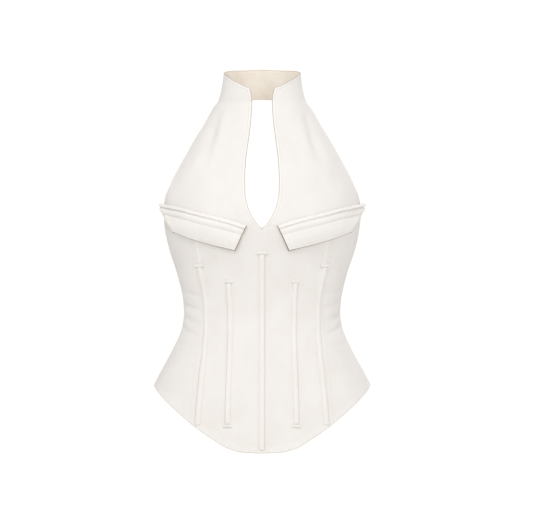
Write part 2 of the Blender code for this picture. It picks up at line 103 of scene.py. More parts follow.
SOFT_FOLDS = (
    # angle and height of one end, then of the other, width, rise
    (-24, -30, -31, -124, 13.0, -0.7),
    (22, -20, 34, -112, 12.0, -0.8),
    (-50, -60, -60, -142, 9.0, 0.8),
    (47, -50, 60, -136, 9.0, -0.8),
    (-38, -232, -50, -264, 12.0, -0.9),
    (36, -235, 52, -268, 13.0, -0.8),
    (-18, -240, -25, -300, 10.0, -0.5),
    (19, -246, 24, -292, 9.0, 0.5),
    (-54, -323, -88, -311, 4.0, -1.5),
    (-56, -342, -92, -329, 4.5, -1.9),
    (-55, -361, -86, -346, 3.6, -1.5),
    (-58, -379, -82, -371, 4.5, -0.9),
    (-55, -301, -80, -292, 4.0, -1.0),
    (-66, -330, -79, -322, 3.0, 0.7),
    (-58, -353, -74, -349, 3.0, 0.6),
    (54, -319, 86, -308, 4.5, -1.4),
    (56, -339, 92, -328, 4.2, -1.8),
    (55, -360, 86, -343, 3.8, -1.6),
    (57, -377, 84, -371, 4.2, -1.1),
    (56, -297, 82, -291, 4.5, -1.0),
    (64, -349, 76, -342, 3.0, 0.7),
    (60, -329, 75, -323, 3.0, 0.6),
    (-60, -398, -80, -430, 12.0, 0.9),
    (64, -395, 78, -432, 12.0, 0.8),
    (-10, -470, -28, -502, 10.0, -0.5),
    (12, -455, 30, -505, 9.0, -0.5),
    (108, -304, 162, -316, 7.0, -1.4),
    (105, -331, 169, -335, 8.0, -1.7),
    (112, -358, 155, -350, 7.0, -1.1),
    (100, -268, 136, -299, 8.0, -0.8),
    (-110, -308, -166, -312, 7.0, -1.5),
    (-104, -328, -168, -338, 8.0, -1.6),
    (-115, -352, -158, -356, 7.0, -1.0),
    (-101, -262, -140, -297, 9.0, -0.9),
    (124, -408, 150, -450, 12.0, -0.7),
    (-128, -405, -148, -455, 12.0, -0.8),
)
FOLD_TAPER = 0.8
SOFTNESS = 0.22
SOFT_WAVES = (
    # length of a wave up, waves round, phase
    (17.0, 7, 0.0),
    (29.0, -4, 1.0),
)

# Edges and seams: the height at an angle, or the angle at a height
COLLAR_FOOT = ((13, -6.0), (45, -4.0), (90, 1.0), (135, 6.5), (180, 9.3))
BUST_SEAM = (
    (0, -213.7), (14, -213.0), (30, -203.0), (50, -187.0), (70, -171.0), (82, -163.5),
    (95, -164.5), (110, -176.0), (130, -196.0), (155, -209.0), (180, -213.0),
)
ARMHOLE = (
    (4, 98.0), (-8, 89.0), (-18, 84.0), (-32, 79.0), (-55, 75.0),
    (-98, 73.0), (-130, 73.0), (-148, 75.5), (-166, 81.0),
)
KEYHOLE = ((-8, 15.2), (-33, 16.7), (-64, 20.3), (-95, 24.1), (-125, 25.5), (-141, 25.1))
KEYHOLE_SHOULDER, KEYHOLE_FOOT, KEYHOLE_POWER = -141.0, -199.0, 0.9
KEYHOLE_ROUND, KEYHOLE_TIP = 4.6, 1.4
ARMHOLE_FOOT_ANGLE = 81.0

# Rows and columns of a piece's mesh lie at these distances from its edge, then evenly
EDGE_STEPS = np.array((0.0, 0.5, 1.2, 2.1, 3.1, 4.2, 5.3, 6.5, 8.2, 10.4))
STITCH_STEP = 5
SECOND_STEP = 8
CORNER_REACH = 1.4
# How deep the painted shadow line along a free edge is, standing in for the shade that falls at an edge
EDGE_SHADOW, FAINT_EDGE_SHADOW = 3.4, 1.4
EDGE_SHARE = 0.7
STEEPEST = 0.9
FITTING_ROUNDS = 15
FOOT_GUESS, TOP_GUESS = -400.0, -100.0
INTO_SEAM = RIM - SEAM_LAP
PRESSED_SEAM = 0.3


def smooth_curve(rows):
    """A curve through a table's rows that never overshoots them."""
    places, values = (np.array(column, float) for column in zip(*sorted(rows)))
    widths = np.diff(places)
    steps = np.diff(values) / widths
    slopes = np.concatenate((steps[:1], np.zeros(len(steps) - 1), steps[-1:]))
    for i in np.flatnonzero(steps[:-1] * steps[1:] > 0):
        near = 2 * widths[i + 1] + widths[i]
        far = widths[i + 1] + 2 * widths[i]
        slopes[i + 1] = (near + far) / (near / steps[i] + far / steps[i + 1])

    def curve(at):
        at = np.clip(at, places[0], places[-1])
        i = np.clip(np.searchsorted(places, at, "right") - 1, 0, len(steps) - 1)
        t = (at - places[i]) / widths[i]
        start = (2 * t**3 - 3 * t**2 + 1) * values[i] + (t**3 - 2 * t**2 + t) * widths[i] * slopes[i]
        end = (3 * t**2 - 2 * t**3) * values[i + 1] + (t**3 - t**2) * widths[i] * slopes[i + 1]
        return start + end

    return curve


half_width_at, front_at, back_at, squareness_at = (
    smooth_curve([(row[0], row[column]) for row in SECTIONS]) for column in (1, 2, 3, 4)
)
collar_foot_at = smooth_curve(COLLAR_FOOT)
bust_seam_at = smooth_curve(BUST_SEAM)
armhole_at = smooth_curve(ARMHOLE)
keyhole_width_at = smooth_curve(KEYHOLE)


def fade(at, start, end):
    """0 up to start and 1 from end, with a soft change between them."""
    t = np.clip((at - start) / (end - start), 0, 1)
    return t * t * (3 - 2 * t)


def hump(away, width):
    """A soft hump from 1 in its middle down to 0."""
    return np.exp(-((away / width) ** 2))


RIPPLE_WAVES = (
    # height, waves in a length, share of the phase
    (1.0, 1.0, 1.0),
    (0.5, 1.63, 2.1),
    (0.35, 0.58, 4.0),
)
RIPPLE_REACH = 1.6


def ripple(along, length, phase=0.0):
    """An uneven wave from about -1 to 1 along a run of cloth."""
    turn = 2 * np.pi * along / length
    waves = (high * np.sin(often * turn + shift * phase) for high, often, shift in RIPPLE_WAVES)
    return sum(waves) / RIPPLE_REACH


def fold_share(place_x, place_y, run_x, run_y, width):
    """How much of a fold's rise a place has, from its end at 0, 0 along its run."""
    along = (place_x * run_x + place_y * run_y) / (run_x**2 + run_y**2)
    aside = np.hypot(place_x - run_x * along, place_y - run_y * along)
    return np.sin(np.pi * np.clip(along, 0, 1)) ** FOLD_TAPER * hump(aside, width)


def plain_radius(angle, height):
    """The distance from a section's middle to the plain form, with the bust's fullness."""
    turn = np.radians(angle)
    power = squareness_at(height)
    half_depth = (front_at(height) + back_at(height)) / 2
    side = np.abs(np.sin(turn) / half_width_at(height)) ** power
    front = np.abs(np.cos(turn) / half_depth) ** power
    over = height - CUP_HEIGHT
    near = hump(np.abs(angle) - CUP_ANGLE, CUP_SPREAD)
    far = hump(np.abs(angle) + CUP_ANGLE, CUP_SPREAD)
    cup = CUP_RISE * (near + far) * hump(over, np.where(over > 0, CUP_ABOVE, CUP_BELOW))
    return (side + front) ** (-1 / power) + cup


def worn_radius(angle, height):
    """The same, with the folds and the softness that the cloth has when it is worn."""
    angle = (np.asarray(angle, float) + 180) % 360 - 180
    radius = plain_radius(angle, height)
    across = np.abs(radius * np.sin(np.radians(angle)))
    rise = np.zeros_like(radius)
    for top_across, top_height, foot_across, foot_height, width, depth in BIB_FOLDS:
        run = foot_across - top_across, foot_height - top_height
        rise += depth * fold_share(across - top_across, height - top_height, *run, width)
    rise *= np.abs(angle) < 90
    girth = (half_width_at(height) + front_at(height)) / 2
    for angle_a, height_a, angle_b, height_b, width, depth in SOFT_FOLDS:
        run = np.radians(angle_b - angle_a) * girth, height_b - height_a
        rise += depth * fold_share(np.radians(angle - angle_a) * girth, height - height_a, *run, width)
    turn = np.radians(angle)
    soft = math.prod(np.sin(height / length + waves * turn + phase) for length, waves, phase in SOFT_WAVES)
    return radius + rise + SOFTNESS * soft


def bare_form(angle, height):
    """The point of the cloth's face at an angle and a height."""
    radius = worn_radius(angle, height)
    middle = (back_at(height) - front_at(height)) / 2
    turn = np.radians(angle)
    return np.stack((radius * np.sin(turn), middle - radius * np.cos(turn), height + 0 * turn), axis=-1)


def form(angle, height, lift=0.0):
    """The point that stands a lift out from the cloth's face."""
    angle, height, lift = np.broadcast_arrays(np.asarray(angle, float), np.asarray(height, float), lift)
    around = bare_form(angle + 0.5, height) - bare_form(angle - 0.5, height)
    upward = bare_form(angle, height + 1) - bare_form(angle, height - 1)
    out = np.cross(around, upward)
    out /= np.linalg.norm(out, axis=-1, keepdims=True)
    return bare_form(angle, height) + out * lift[..., None]


LOWEST, HIGHEST = -545.0, 75.0
GIRTH_TURN, GIRTH_RISE = 2.0, 5.0
INSIDE_TABLE = 1.001


def girth_table():
    """The distance round the body from centre front, for each of some heights and angles."""
    angle, height = np.meshgrid(np.arange(0, 361, GIRTH_TURN), np.arange(LOWEST, HIGHEST + 1, GIRTH_RISE))
    radius, turn = plain_radius((angle + 180) % 360 - 180, height), np.radians(angle)
    steps = np.hypot(np.diff(radius * np.sin(turn)), np.diff(radius * np.cos(turn)))
    return np.concatenate((np.zeros((len(steps), 1)), np.cumsum(steps, axis=1)), axis=1)


girths = girth_table()


def arc(angle, height):
    """The distance round the body from centre front to an angle."""
    across = np.clip(np.abs(angle) / GIRTH_TURN, 0, girths.shape[1] - INSIDE_TABLE)
    up = np.clip((height - LOWEST) / GIRTH_RISE, 0, girths.shape[0] - INSIDE_TABLE)
    column, row = across.astype(int), up.astype(int)
    across, up = across - column, up - row
    low = girths[row, column] * (1 - across) + girths[row, column + 1] * across
    high = girths[row + 1, column] * (1 - across) + girths[row + 1, column + 1] * across
    return np.sign(angle) * (low * (1 - up) + high * up)


def beside(edge, distance):
    """An upright edge moved round the body by a distance."""
    return lambda height: edge(height) + np.degrees(distance / plain_radius(edge(height), height))


def raised(line, rise):
    """A line across the body moved up by a rise."""
    return lambda angle: line(angle) + rise


def keyhole_edge(height):
    """The angle of the keyhole's edge, or of the centre front seam below it."""
    share = np.clip((height - KEYHOLE_FOOT) / (KEYHOLE_SHOULDER - KEYHOLE_FOOT), 0, 1)
    rounded = (1 - (1 - share) ** 2) ** KEYHOLE_POWER
    across = keyhole_width_at(np.maximum(height, KEYHOLE_SHOULDER)) * rounded
    across = across * np.sqrt(np.clip((height - KEYHOLE_FOOT - KEYHOLE_TIP) / KEYHOLE_ROUND, 0, 1))
    angle = np.zeros_like(across)
    for _ in range(5):
        angle = np.degrees(np.arcsin(across / plain_radius(angle, height)))
    return angle


def spread(lengths, count, first=1.0, last=1.0):
    """Shares along some lengths: at the edge steps from both ends, and even between them."""
    lengths = np.asarray(lengths, float)[..., None]
    first, last = (np.broadcast_to(ratio, lengths.shape[:-1])[..., None] for ratio in (first, last))
    squeeze = np.minimum(1.0, EDGE_SHARE * lengths / (EDGE_STEPS[-1] * (first + last)))
    starts = EDGE_STEPS * first * squeeze
    ends = lengths - (EDGE_STEPS * last * squeeze)[..., ::-1]
    even = np.linspace(0, 1, count + 1)[1:-1]
    middle = starts[..., -1:] + (ends[..., :1] - starts[..., -1:]) * even
    return np.concatenate((starts, middle, ends), axis=-1) / lengths


def slanted(edge, line):
    """How much further it is along a line than square to the edge that the line starts from."""
    both = np.linalg.norm(edge, axis=-1) * np.linalg.norm(line, axis=-1)
    cosine = (edge * line).sum(axis=-1) / both
    return 1 / np.sqrt(1 - np.clip(cosine, -STEEPEST, STEEPEST) ** 2)


def cut_panel(near, far, foot, top):
    """The angles and heights of a panel's mesh between two upright edges, its foot and its top."""

    def angle_at(height, share):
        return near(height) + (far(height) - near(height)) * share

    def ends(share):
        low, high = np.full_like(share, FOOT_GUESS), np.full_like(share, TOP_GUESS)
        for _ in range(FITTING_ROUNDS):
            low, high = foot(angle_at(low, share)), top(angle_at(high, share))
        return low, high

    def lean(edge, height):
        run = bare_form(edge(height + 1), height + 1) - bare_form(edge(height - 1), height - 1)
        around = bare_form(edge(height) + 1, height) - bare_form(edge(height) - 1, height)
        return slanted(run, around)

    def slant(edge, height, share):
        angle = angle_at(height, share)
        run = bare_form(angle + 1, edge(angle + 1)) - bare_form(angle - 1, edge(angle - 1))
        upward = bare_form(angle, height + 1) - bare_form(angle, height - 1)
        return slanted(run, upward) * 2 / np.linalg.norm(upward, axis=-1)

    coarse = np.linspace(0, 1, 31)
    low, high = ends(coarse)
    middle = coarse.size // 2
    heights = low[middle] + (high[middle] - low[middle]) * coarse
    widths = arc(far(heights), heights) - arc(near(heights), heights)
    columns = math.ceil(widths.max() / CELL)
    rows = math.ceil((high - low).max() / CELL)

    share = spread(widths.mean(), columns)
    low, high = ends(share)
    up = spread(high - low, rows, slant(foot, low, share), slant(top, high, share)).T
    middle = share.size // 2
    heights = low[middle] + (high[middle] - low[middle]) * up.mean(axis=1)
    widths = arc(far(heights), heights) - arc(near(heights), heights)
    across = spread(widths, columns, lean(near, heights), lean(far, heights))
    low, high = ends(across)
    height = low + (high - low) * up
    return angle_at(height, across), height


def distance_along(points, line):
    """How far points lie from a line, and how far along it the nearest places are."""
    best = np.full(len(points), np.inf)
    where = np.zeros(len(points))
    run = 0.0
    for start, end in zip(line, line[1:]):
        step = end - start
        length = np.linalg.norm(step)
        share = np.clip((points - start) @ step / length**2, 0, 1)
        away = np.linalg.norm(points - start - share[:, None] * step, axis=1)
        where = np.where(away < best, run + share * length, where)
        best = np.minimum(away, best)
        run += length
    return best, where


def edge_finish(band, line, pucker):
    """How far a face stands out, as a function of the distances from an edge and along it."""
    band_rise, fade_start, fade_end = band
    line_rise, line_width, steps = line
    pucker_rise, length, phase, place, width = pucker

    def finish(away, along):
        turned = band_rise * (1 - fade(away, fade_start, fade_end))
        lines = sum(hump(away - EDGE_STEPS[step], line_width) for step in steps)
        waves = pucker_rise * ripple(along, length, phase) * hump(away - place, width)
        return turned + line_rise * lines + waves

    return finish


# A finish has a band's rise and where it fades out, the rise and width of lines at some edge steps, and
# the rise, length, phase, place and width of puckers. A seam's allowances are pressed to its high side.
NO_BAND, NO_LINE = (0.0, 0.0, 1.0), (0.0, 1.0, (0,))
STITCH_LINE = EDGE_STEPS[STITCH_STEP]
turned_edge = edge_finish((0.38, 4.8, 7.0), (-0.65, 0.9, (STITCH_STEP,)), (0.14, 7.0, 0.0, STITCH_LINE, 2.6))
seam_high = edge_finish(NO_BAND, (0.45, 3.4, (0,)), (0.12, 8.0, 0.0, 0.0, 4.5))
seam_low = edge_finish(NO_BAND, (-0.2, 1.8, (0,)), (0.1, 8.0, 1.3, 0.0, 5.0))
seam_plain = edge_finish(NO_BAND, NO_LINE, (0.08, 9.0, 0.6, 0.0, 4.0))


def relief_of(points, edges):
    """How far a piece's face stands out for the finish of its edges, and how deep the painted shadow line
    along each edge is.
    """
    flat = points.reshape(-1, 3)
    relief, edge_shadow = np.zeros((2, len(flat)))
    for line, finish, edge_shadow_depth in edges:
        away, along = distance_along(flat, points[line])
        relief += finish(away, along)
        edge_shadow = np.maximum(edge_shadow, edge_shadow_depth * (away < 0.01))
    return relief.reshape(points.shape[:-1]), edge_shadow.reshape(points.shape[:-1])


def facing(points):
    """The unit normals of a grid of points."""
    out = np.cross(np.gradient(points, axis=1), np.gradient(points, axis=0))
    return out / np.linalg.norm(out, axis=-1, keepdims=True)


def weave_map(angle, height):
    """Where each point lies on the flat cloth, in metres."""
    angle, height = np.broadcast_arrays(angle, height)
    return np.stack((arc(angle, height), height), axis=-1) * MM


RIM_TURNS = (36, 72, 108, 144)
INNER_STRIPS = 3


def sew(name, face, back, cut, relief, edge_shadow, side, finishes):
    """A closed piece of cloth: its face, its back and a rounded rim between their edges, with painted shadow
    along its free edges.
    """
    rows, columns = face.shape[:2]
    index = np.arange(rows * columns).reshape(rows, columns)
    loop = np.concatenate((index[0, :-1], index[:-1, -1], index[-1, :0:-1], index[:0:-1, 0]))
    outward = np.zeros_like(face)
    outward[0] += face[0] - face[1]
    outward[-1] += face[-1] - face[-2]
    outward[:, 0] += face[:, 0] - face[:, 1]
    outward[:, -1] += face[:, -1] - face[:, -2]
    face_points, back_points, outward = (grid.reshape(-1, 3) for grid in (face, back, outward))
    out = outward[loop] / np.linalg.norm(outward[loop], axis=1, keepdims=True)
    out[np.isin(loop, index[[0, 0, -1, -1], [0, -1, 0, -1]])] *= CORNER_REACH
    half = (face_points[loop] - back_points[loop]) / 2
    middle = (face_points[loop] + back_points[loop]) / 2
    radius = np.linalg.norm(half, axis=1, keepdims=True)
    rings = []
    for turn in np.radians(RIM_TURNS):
        rings.append(middle + half * math.cos(turn) + out * radius * math.sin(turn))

    points = np.concatenate((face_points, back_points, *rings))
    total = rows * columns
    around = [loop] + [2 * total + np.arange(len(loop)) + k * len(loop) for k in range(len(rings))]
    around.append(loop + total)
    corners = (index[:-1, :-1], index[:-1, 1:], index[1:, 1:], index[1:, :-1])
    quads = np.stack(corners, axis=-1).reshape(-1, 4)
    rim = []
    for upper, lower in zip(around, around[1:]):
        rim.append(np.stack((np.roll(upper, -1), upper, lower, np.roll(lower, -1)), axis=-1))
    faces = np.concatenate((quads, quads[:, ::-1] + total, *rim))
    if side < 0:
        faces = faces[:, ::-1]

    mesh = bpy.data.meshes.new(name)
    mesh.from_pydata((points * MM).tolist(), [], faces.tolist())
    mesh.update()
    # The relief attribute drives painted highlight and shade on the face, and the painted edge shadow is
    # taken off it at free edges
    flat, height = cut.reshape(-1, 2), (relief - edge_shadow).reshape(-1)
    flat = np.concatenate((flat, flat) + (flat[loop],) * len(rings))
    height = np.concatenate((height, np.zeros(total)) + (height[loop],) * len(rings))
    layer = mesh.uv_layers.new(name="cut")
    layer.data.foreach_set("uv", flat[faces.reshape(-1)].astype(np.float32).reshape(-1))
    mark = mesh.attributes.new("relief", "FLOAT", "POINT")
    mark.data.foreach_set("value", height.astype(np.float32))
    for finish in finishes:
        mesh.materials.append(finish)
    inside = np.zeros(len(faces), np.int32)
    inside[len(quads) : 2 * len(quads)] = len(finishes) - 1
    # The inner rim strips take the inside finish, whose darker tone also paints shade along the rim
    inside[-INNER_STRIPS * len(loop) :] = len(finishes) - 1
    mesh.polygons.foreach_set("material_index", inside)
    mesh.shade_smooth()
    made = bpy.data.objects.new(name, mesh)
    bpy.context.scene.collection.objects.link(made)
    return made


class Value:
    """A number in a node tree that Python's signs work on: each sign adds one Math node."""

    def __init__(self, tree, socket):
        self.tree = tree
        self.socket = socket

    def math(self, operation, *numbers):
        return self.tree.node("ShaderNodeMath", {"operation": operation}, dict(enumerate(numbers)))

    def __add__(self, other):
        return self.math("ADD", self, other)

    def __sub__(self, other):
        return self.math("SUBTRACT", self, other)

    def __rsub__(self, other):
        return self.math("SUBTRACT", other, self)

    def __mul__(self, other):
        return self.math("MULTIPLY", self, other)

    __radd__ = __add__
    __rmul__ = __mul__

    def sine(self):
        return self.math("SINE", self)

    def limited(self):
        return self.tree.node("ShaderNodeClamp", {}, {"Value": self})


class Tree:
    """A node tree whose nodes come from one method."""

    def __init__(self, nodes):
        self.nodes = nodes

    def node(self, kind, settings=None, values=None, output=0):
        made = self.nodes.nodes.new(kind)
        for word, setting in (settings or {}).items():
            setattr(made, word, setting)
        for word, value in (values or {}).items():
            if isinstance(value, Value):
                self.nodes.links.new(value.socket, made.inputs[word])
            else:
                made.inputs[word].default_value = value
        return Value(self, made.outputs[output] if made.outputs else None)

    def other(self, value, output):
        """Another output of the node that a value comes from."""
        return Value(self, value.socket.node.outputs[output])

    def grain(self, place, scale, detail=2.0, stretch=(1.0, 1.0, 1.0)):
        """Noise from 0 to 1 over a place, drawn out by a stretch."""
        drawn = self.node("ShaderNodeVectorMath", {"operation": "MULTIPLY"}, {0: place, 1: stretch})
        return self.node("ShaderNodeTexNoise", {}, {"Vector": drawn, "Scale": scale, "Detail": detail})

    def blend(self, share, low, high):
        """A colour between two others, each of which is constant or comes from a node."""
        low, high = (colour if isinstance(colour, Value) else (*colour, 1) for colour in (low, high))
        return self.node("ShaderNodeMix", {"data_type": "RGBA"}, {0: share, 6: low, 7: high}, output=2)

    def surface(self, values):
        """The shader and the output that end a material."""
        shader = self.node("ShaderNodeBsdfPrincipled", {}, values)
        self.node("ShaderNodeOutputMaterial", {}, {"Surface": shader})


def fresh_tree(owner):
    """The emptied node tree of a material or a world."""
    owner.use_nodes = True
    owner.node_tree.nodes.clear()
    return Tree(owner.node_tree)


WALE = 1.15
WALE_LEAN = math.radians(62)
YARN = 0.55
SLUB_STRETCH = (2600.0, 130.0, 1.0)
FUZZ_SCALE, MOTTLE_SCALE, MOTTLE_STRETCH = 3200.0, 34.0, (1.0, 0.7, 1.0)
MEAN_SHADE, WALE_SHADE, SLUB_SHADE, RELIEF_SHADE = 0.78, 0.035, 0.2, 0.4
WALE_BUMP, YARN_BUMP, SLUB_BUMP, FUZZ_BUMP = 0.5, 0.16, 0.7, 0.25
# Painted shadow: past this, free edges darken towards a brown shadow colour
EDGE_SHADOW_START = 1.25
EDGE_SHADOW_COLOUR = (0.310, 0.245, 0.190)


def weave_cloth(name, deep, light, wale_share=1.0, blotch=0.26):
    """Cotton twill: slanting wales of yarn and slubs down the warp, with painted highlight on raised relief,
    painted shade in its grooves and a painted shadow line at free edges.
    """
    material = bpy.data.materials.new(name)
    tree = fresh_tree(material)
    place = tree.node("ShaderNodeUVMap", {"uv_map": "cut"})
    across = tree.node("ShaderNodeSeparateXYZ", {}, {0: place})
    up = tree.other(across, 1)
    turn = 2 * math.pi / (WALE * MM)
    wale = (across * (turn * math.sin(WALE_LEAN)) - up * (turn * math.cos(WALE_LEAN))).sine()
    turn = 2 * math.pi / (YARN * MM)
    yarn = (across * (turn * math.cos(WALE_LEAN)) + up * (turn * math.sin(WALE_LEAN))).sine()
    slub = tree.grain(place, 1.0, stretch=SLUB_STRETCH)
    fuzz = tree.grain(place, FUZZ_SCALE, 3.0)
    mottle = tree.grain(place, MOTTLE_SCALE, 4.0, MOTTLE_STRETCH)
    relief = tree.node("ShaderNodeAttribute", {"attribute_name": "relief"}, output=2)

    # Painted highlight on ridges and painted shade in grooves and stitch lines, from the relief
    shade = MEAN_SHADE + wale * (WALE_SHADE * wale_share) + (slub - 0.5) * SLUB_SHADE
    shade = shade + (mottle - 0.5) * blotch + relief * RELIEF_SHADE
    # Painted shadow: a brown line along the free edges
    edge_shadow = (relief * -0.5 - EDGE_SHADOW_START).limited()
    colour = tree.blend(edge_shadow, tree.blend(shade.limited(), deep, light), EDGE_SHADOW_COLOUR)
    bumps = wale * (WALE_BUMP * wale_share) + yarn * (YARN_BUMP * wale_share)
    bumps = bumps + slub * SLUB_BUMP + fuzz * FUZZ_BUMP
    bump = tree.node("ShaderNodeBump", {}, {"Strength": 0.5, "Distance": 0.0002, "Height": bumps})
    rough = 0.82 + (slub - 0.5) * 0.12 + (fuzz - 0.5) * 0.1
    finish = {"Base Color": colour, "Roughness": rough, "Normal": bump}
    tree.surface(finish | {"Sheen Weight": 0.12, "Sheen Roughness": 0.5, "Specular IOR Level": 0.25})
    return material


DENIM_DEEP, DENIM_LIGHT = (0.660, 0.598, 0.535), (0.925, 0.905, 0.885)
# The inside of the twill: its wrong side, painted darker and warmer for the shade inside the top
INSIDE_SHADED_DEEP, INSIDE_SHADED_LIGHT = (0.620, 0.545, 0.450), (0.885, 0.845, 0.785)
denim_face = weave_cloth("white_denim_face", DENIM_DEEP, DENIM_LIGHT)
denim_inside_painted_shade = weave_cloth("white_denim_inside_painted_shade", INSIDE_SHADED_DEEP, INSIDE_SHADED_LIGHT, wale_share=0.5)


def spin_thread(name, deep, light):
    """Sewing thread or a pulled yarn, a little glossier than the cloth."""
    material = bpy.data.materials.new(name)
    tree = fresh_tree(material)
    place = tree.node("ShaderNodeTexCoord", {}, output="Object")
    ply = tree.grain(place, 2400.0)
    tone = tree.grain(place, 60.0)
    colour = tree.blend((0.3 + ply * 0.5 + (tone - 0.5) * 0.6).limited(), deep, light)
    bump = tree.node("ShaderNodeBump", {}, {"Strength": 0.4, "Distance": 0.0001, "Height": ply})
    rough = 0.55 + ply * 0.15
    tree.surface({"Base Color": colour, "Roughness": rough, "Normal": bump, "Sheen Weight": 0.1})
    return material


thread = spin_thread("ecru_topstitch_thread", (0.720, 0.640, 0.560), (0.900, 0.850, 0.795))


def edge_tree(name, size_word, size_kind, make_piece):
    """Geometry nodes that set one piece along each edge of a mesh, with a size and a finish as inputs."""
    group = bpy.data.node_groups.new(name, "GeometryNodeTree")
    inputs = (("Geometry", "NodeSocketGeometry"), (size_word, size_kind), ("Finish", "NodeSocketMaterial"))
    for word, kind in inputs:
        group.interface.new_socket(word, in_out="INPUT", socket_type=kind)
    group.interface.new_socket("Geometry", in_out="OUTPUT", socket_type="NodeSocketGeometry")
    tree = Tree(group)
    lines = tree.node("NodeGroupInput")
    start = tree.node("GeometryNodeInputMeshEdgeVertices", output="Position 1")
    end = tree.other(start, "Position 2")
    run = tree.node("ShaderNodeVectorMath", {"operation": "SUBTRACT"}, {0: end, 1: start})
    kept = group.nodes.new("GeometryNodeCaptureAttribute")
    kept.domain = "EDGE"
    kept.capture_items.new("VECTOR", "run")
    group.links.new(lines.socket, kept.inputs["Geometry"])
    group.links.new(run.socket, kept.inputs["run"])
    run, edges = Value(tree, kept.outputs["run"]), Value(tree, kept.outputs["Geometry"])
    places = tree.node("GeometryNodeMeshToPoints", {"mode": "EDGES"}, {"Mesh": edges})
    turn = tree.node("FunctionNodeAlignRotationToVector", {"axis": "Z"}, {"Vector": run})
    laid = {"Points": places, "Rotation": turn} | make_piece(tree, tree.other(lines, size_word), run)
    instances = tree.node("GeometryNodeInstanceOnPoints", {}, laid)
    plain = tree.node("GeometryNodeRealizeInstances", {}, {"Geometry": instances})
    finish = tree.other(lines, "Finish")
    finished = tree.node("GeometryNodeSetMaterial", {}, {"Geometry": plain, "Material": finish})
    tree.node("NodeGroupOutput", {}, {"Geometry": finished})
    return group


def spindle(tree, radius, run):
    """A smooth spindle of thread, as long as its edge."""
    length = tree.node("ShaderNodeVectorMath", {"operation": "LENGTH"}, {0: run}, output="Value")
    size = tree.node("ShaderNodeCombineXYZ", {}, {0: radius, 1: radius, 2: length * 0.5})
    ball = tree.node("GeometryNodeMeshUVSphere", {}, {"Segments": 6, "Rings": 5, "Radius": 1.0})
    return {"Instance": tree.node("GeometryNodeSetShadeSmooth", {}, {"Geometry": ball}), "Scale": size}


STITCH_PITCH, STITCH_LENGTH, FIRST_STITCH, THREAD_RADIUS = 3.1, 2.6, 0.4, 0.32
laid_stitches = edge_tree("laid_stitches", "Thread radius", "NodeSocketFloat", spindle)


def stitches_on(line):
    """The two ends of each stitch of a row along a line of points."""
    steps = np.linalg.norm(np.diff(line, axis=0), axis=1)
    run = np.concatenate(([0], np.cumsum(steps)))
    starts = np.arange(FIRST_STITCH, run[-1] - STITCH_LENGTH, STITCH_PITCH)
    ends = []
    for places in (starts, starts + STITCH_LENGTH):
        ends.append(np.stack([np.interp(places, run, line[:, axis]) for axis in range(3)], axis=-1))
    return np.stack(ends, axis=1)


def grow(name, tree, ends, inputs):
    """A plain mesh that a node tree makes on edges, from the two ends of each."""
    points = ends.reshape(-1, 3)
    mesh = bpy.data.meshes.new(name)
    mesh.from_pydata((points * MM).tolist(), [(i, i + 1) for i in range(0, len(points), 2)], [])
    made = bpy.data.objects.new(name, mesh)
    bpy.context.scene.collection.objects.link(made)
    modifier = made.modifiers.new("nodes", "NODES")
    modifier.node_group = tree
    for socket in tree.interface.items_tree:
        if socket.name in inputs and socket.in_out == "INPUT":
            modifier[socket.identifier] = inputs[socket.name]
    graph = bpy.context.evaluated_depsgraph_get()
    grown = bpy.data.meshes.new_from_object(made.evaluated_get(graph))
    made.modifiers.clear()
    made.data = grown
    grown.name = name
    bpy.data.meshes.remove(mesh)
    return made


def topstitch(name, rows, finish=thread, radius=THREAD_RADIUS):
    """One mesh of all the stitches in some rows, which rides with the cloth that it is sewn through."""
    inputs = {"Thread radius": radius * MM, "Finish": finish}
    made = grow(name, laid_stitches, np.concatenate(rows), inputs)
    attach(made, "top")
    return made


def cut_size(face):
    """The flat width, length and area of a piece's face, in metres."""
    widths = np.linalg.norm(np.diff(face, axis=1), axis=-1).sum(axis=1)
    lengths = np.linalg.norm(np.diff(face, axis=0), axis=-1).sum(axis=0)
    spans = np.cross(face[1:, 1:] - face[:-1, :-1], face[1:, :-1] - face[:-1, 1:])
    return widths.max() * MM, lengths.max() * MM, np.linalg.norm(spans, axis=-1).sum() / 2 * MM**2


def hang(made, node, face):
    """Puts a cloth piece in its CAD node's place on the top."""
    width, length, area = cut_size(face)
    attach(made, "top")
    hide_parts(node)


def dress(node, side, angle, height, edges, cloth=DENIM, slot="denim", finishes=(denim_face, denim_inside_painted_shade)):
    """A piece of cloth on the worn form, in its CAD node's place; gives its finished face."""
    relief, edge_shadow = relief_of(form(side * angle, height), edges)
    face = form(side * angle, height, relief)
    back = face - side * facing(face) * cloth
    cut = weave_map(side * angle, height)
    piece = sew(f"cloth_{node}", face, back, cut, relief, edge_shadow, side, finishes)
    hang(piece, node, face)
    return face


rows = []
for word, side in SIDES:
    angle, height = cut_panel(
        beside(keyhole_edge, INTO_SEAM), beside(armhole_at, -RIM),
        raised(bust_seam_at, PRESSED_SEAM), raised(collar_foot_at, -PRESSED_SEAM),
    )
    split = int(np.argmin(np.abs(height[:, 0] - KEYHOLE_FOOT)))
    face = dress(f"bib_{word}", side, angle, height, (
        (np.s_[split:, 0], turned_edge, EDGE_SHADOW),
        (np.s_[: split + 1, 0], seam_plain, 0),
        (np.s_[:, -1], turned_edge, FAINT_EDGE_SHADOW),
        (np.s_[0], seam_plain, 0),
        (np.s_[-1], seam_plain, 0),
    ))
    rows.append(stitches_on(face[split + 2 :, STITCH_STEP]))
    rows.append(stitches_on(face[2:, -1 - STITCH_STEP]))
topstitch("topstitch_bibs", rows)

# The collar
# A stand collar of two layers of the same twill, a ring round the neck that is open at the keyhole.
# Its top and front edges are turned in and topstitched, and its foot is sewn to the bibs.

